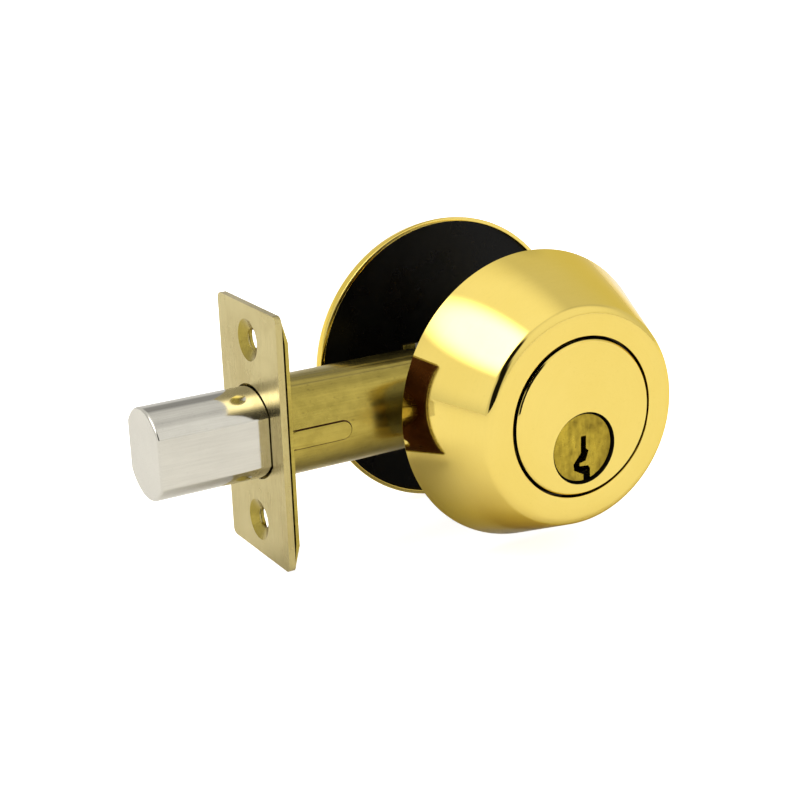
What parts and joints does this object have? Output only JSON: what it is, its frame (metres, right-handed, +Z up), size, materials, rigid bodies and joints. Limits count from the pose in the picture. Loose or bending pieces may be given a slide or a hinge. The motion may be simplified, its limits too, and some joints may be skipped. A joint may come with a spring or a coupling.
{
  "type": "deadbolt door lock",
  "caption": "Tubular deadbolt lockset: keyed cylinder with tapered guard, sliding bolt in a round tube with face plate, and thumbturn on a rosette.",
  "frame": {"origin": "On the bolt's axis, at the centre of the cross bore, halfway through the door", "axes": "+X into the door away from its edge (the bolt is thrown toward -X), -Y to the key side, +Y to the thumbturn side, +Z up"},
  "size_m": [0.1202, 0.0816, 0.069],
  "materials": {
    "polished_brass": "polished",
    "satin_brass": "satin",
    "tube_brass": "satin, yellow dichromate",
    "plain_brass": "machined",
    "nickel": "satin nickel",
    "zinc_steel": "zinc plated",
    "hardened_steel": "blackened",
    "spring_steel": "bright",
    "black_plate": "black satin"
  },
  "bodies": {
    "lockset": {"guard_insert": "hardened_steel", "cylinder_housing": "polished_brass", "pin_chamber_cap": "plain_brass", "bolt_tube": "tube_brass", "tube_end_plate": "tube_brass", "face_plate": "satin_brass", "backing_plate": "tube_brass", "case_plate_outer": "tube_brass", "case_plate_inner": "tube_brass", "case_rivets": "zinc_steel", "detent_spring": "spring_steel", "rosette": "polished_brass", "mounting_plate": "black_plate", "mounting_screws": "polished_brass", "thumbturn_washer": "spring_steel", "driver_pin_1": "zinc_steel", "driver_pin_2": "zinc_steel", "driver_pin_3": "zinc_steel", "driver_pin_4": "zinc_steel", "driver_pin_5": "zinc_steel", "pin_spring_1": "spring_steel", "pin_spring_2": "spring_steel", "pin_spring_3": "spring_steel", "pin_spring_4": "spring_steel", "pin_spring_5": "spring_steel"},
    "guard": {"guard_shell": "polished_brass"},
    "plug": {"key_plug": "satin_brass", "plug_cap": "plain_brass", "bottom_pin_1": "plain_brass", "bottom_pin_2": "plain_brass", "bottom_pin_3": "plain_brass", "bottom_pin_4": "plain_brass", "bottom_pin_5": "plain_brass"},
    "turnpiece": {"tailpiece": "zinc_steel", "crank": "zinc_steel", "crank_pin": "zinc_steel", "thumbturn_clip": "spring_steel", "thumbturn_spindle": "zinc_steel", "thumbturn": "polished_brass"},
    "sliding_bolt": {"bolt": "nickel", "bolt_core_pin": "hardened_steel", "bolt_tail": "zinc_steel", "tail_rivets": "zinc_steel"}
  },
  "joints": [
    {"name": "turn", "type": "hinge", "parent": "lockset", "child": "turnpiece", "pos_m": [0, 0, -0.0054], "axis": [0, 1, 0], "range_deg": [0, 90]},
    {"name": "bolt_slide", "type": "slide", "parent": "lockset", "child": "sliding_bolt", "axis": [1, 0, 0], "range_m": [0, 0.0254]},
    {"name": "key_turn", "type": "hinge", "parent": "lockset", "child": "plug", "pos_m": [0, 0, -0.0054], "axis": [0, 1, 0], "range_deg": [-90, 90]},
    {"name": "guard_spin", "type": "hinge", "parent": "lockset", "child": "guard", "pos_m": [0, 0, 0.0015], "axis": [0, 1, 0], "continuous": true}
  ],
  "couplings": [
    {"joint": "turn", "follows": "bolt_slide", "rad_per_m": 61.842}
  ]
}
